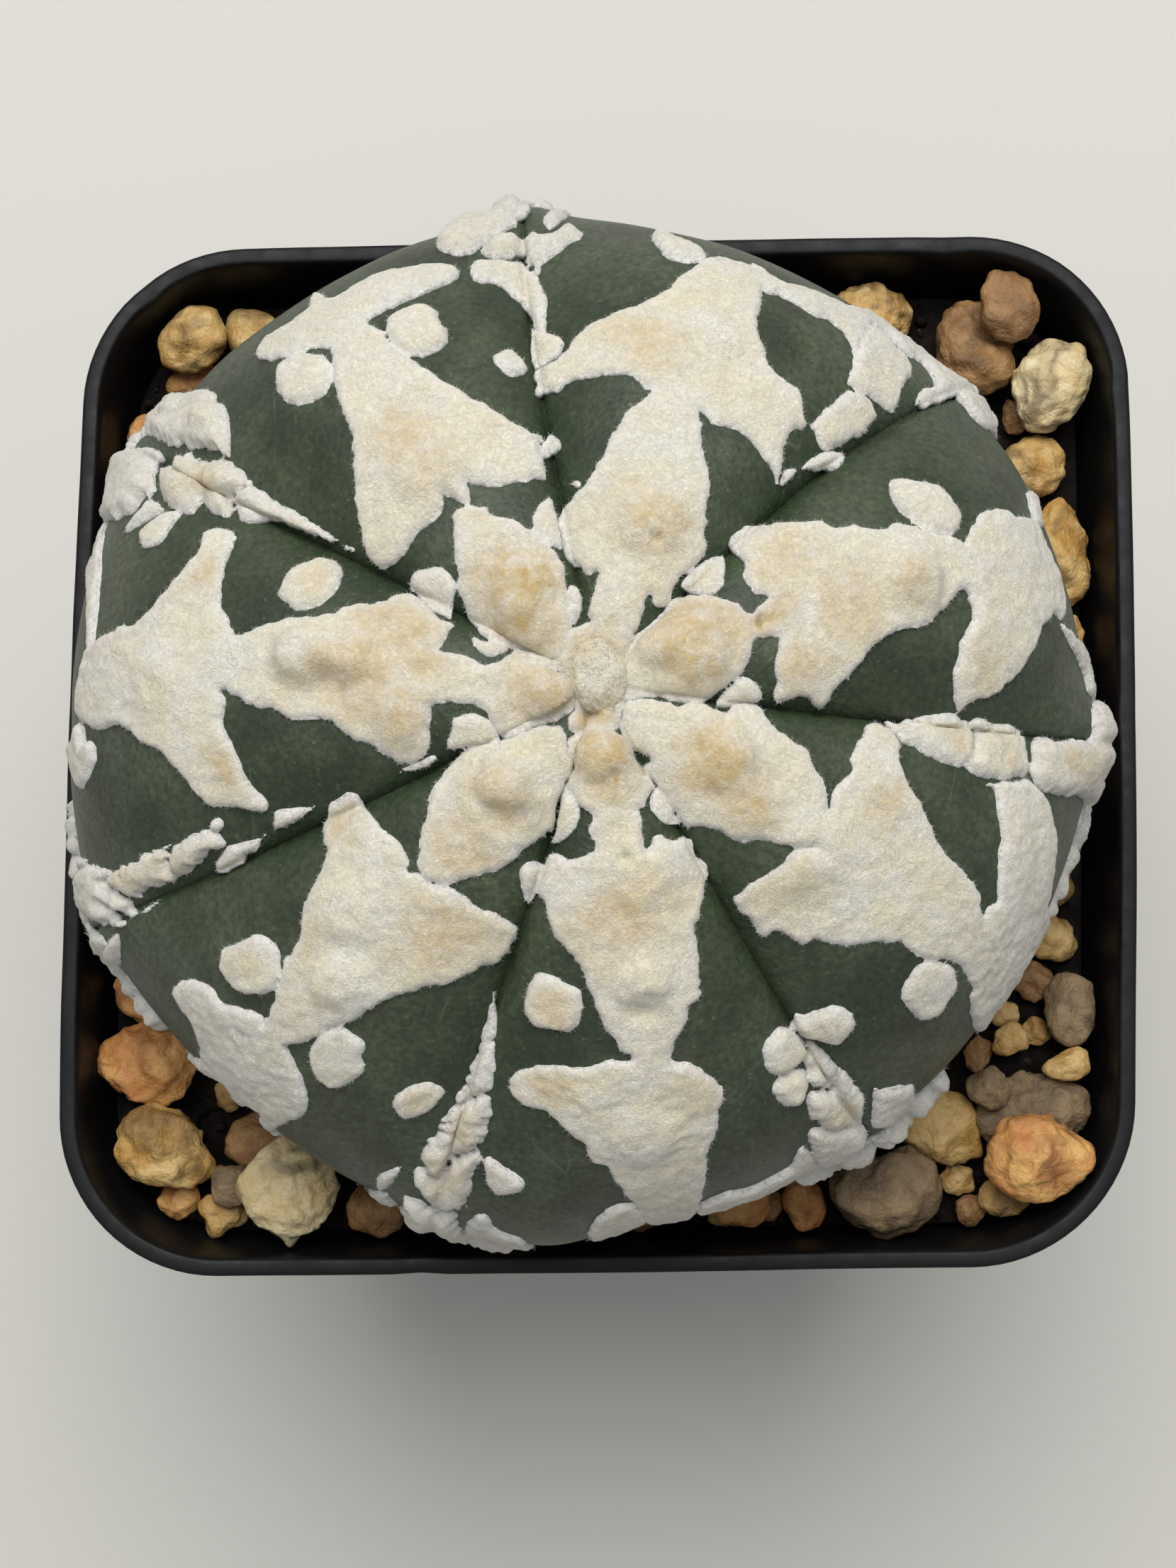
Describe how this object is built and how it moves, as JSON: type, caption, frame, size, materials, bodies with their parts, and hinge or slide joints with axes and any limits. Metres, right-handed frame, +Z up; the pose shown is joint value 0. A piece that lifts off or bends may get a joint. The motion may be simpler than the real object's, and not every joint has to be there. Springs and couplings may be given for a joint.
{
  "type": "potted star cactus",
  "caption": "Low domed star cactus with seven ribs and patches of white wool, growing in a square black plastic nursery pot topped with coloured gravel.",
  "frame": {"origin": "centre of the bounding box's bottom face, on the plane the pot's foot stands on", "axes": "+Z up out of the pot, +X to the right and +Y to the back as seen from the front"},
  "size_m": [0.0712, 0.0694, 0.0912],
  "materials": {
    "black_plastic": "satin",
    "potting_soil": "crumbly, matt",
    "cactus_skin": "waxy, with a thin grey bloom",
    "cactus_wool": "dense felted wool",
    "gravel_golden": "water worn",
    "gravel_orange": "water worn",
    "gravel_brown": "water worn",
    "gravel_taupe": "water worn",
    "gravel_cream": "water worn"
  },
  "bodies": {
    "root": {"cactus_body": "cactus_skin", "pot": "black_plastic", "soil_bed": "potting_soil", "stone_01": "gravel_orange", "stone_02": "gravel_orange", "stone_03": "gravel_golden", "stone_04": "gravel_golden", "stone_05": "gravel_golden", "stone_06": "gravel_golden", "stone_07": "gravel_brown", "stone_08": "gravel_brown", "stone_09": "gravel_brown", "stone_10": "gravel_golden", "stone_11": "gravel_golden", "stone_12": "gravel_cream", "stone_13": "gravel_taupe", "stone_14": "gravel_golden", "stone_15": "gravel_brown", "stone_16": "gravel_golden", "stone_17": "gravel_brown", "stone_18": "gravel_golden", "stone_19": "gravel_golden", "stone_20": "gravel_taupe", "stone_21": "gravel_golden", "stone_22": "gravel_golden", "stone_23": "gravel_taupe", "stone_24": "gravel_golden", "stone_25": "gravel_brown", "stone_26": "gravel_golden", "stone_27": "gravel_taupe", "stone_28": "gravel_orange", "stone_29": "gravel_orange", "stone_30": "gravel_brown", "stone_31": "gravel_golden", "stone_32": "gravel_brown", "stone_33": "gravel_brown", "stone_34": "gravel_orange", "stone_35": "gravel_golden", "stone_36": "gravel_brown", "stone_37": "gravel_orange", "stone_38": "gravel_golden", "stone_39": "gravel_taupe", "stone_40": "gravel_orange", "stone_41": "gravel_cream", "stone_42": "gravel_golden", "stone_43": "gravel_golden", "stone_44": "gravel_taupe", "stone_45": "gravel_orange", "stone_46": "gravel_taupe", "stone_47": "gravel_orange", "stone_48": "gravel_golden", "stone_49": "gravel_orange", "stone_50": "gravel_golden", "stone_51": "gravel_taupe", "stone_52": "gravel_golden", "stone_53": "gravel_taupe", "stone_54": "gravel_orange"}
  },
  "joints": []
}
